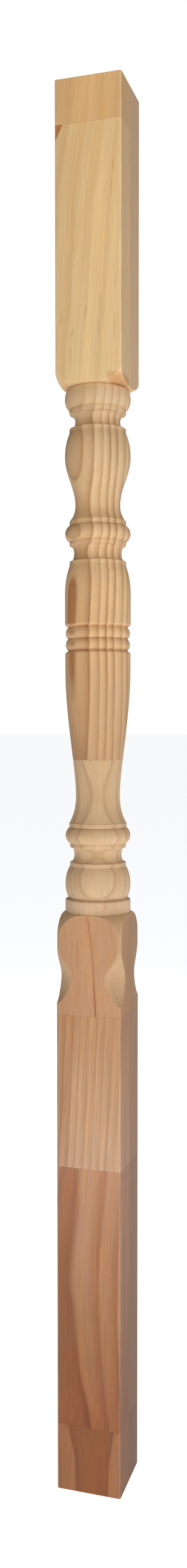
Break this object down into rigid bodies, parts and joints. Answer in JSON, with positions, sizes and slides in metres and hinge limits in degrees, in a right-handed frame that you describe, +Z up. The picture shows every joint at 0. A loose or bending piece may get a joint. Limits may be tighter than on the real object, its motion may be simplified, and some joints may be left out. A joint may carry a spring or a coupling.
{
  "type": "turned verandah post",
  "caption": "Square softwood post turned round between its square ends, with beads, coves, a vase, a barrel, a long taper and a ball, for a verandah or porch.",
  "frame": {"origin": "middle of the post's foot, on the surface it stands on", "axes": "+Z up along the post's axis, -Y out of the face that the picture shows widest, +X out of the face seen on its right"},
  "size_m": [0.115, 0.115, 2.4],
  "materials": {
    "pine": "finger-jointed softwood, planed and sanded, with no coat over it"
  },
  "bodies": {
    "root": {"turned_post": "pine"}
  },
  "joints": []
}
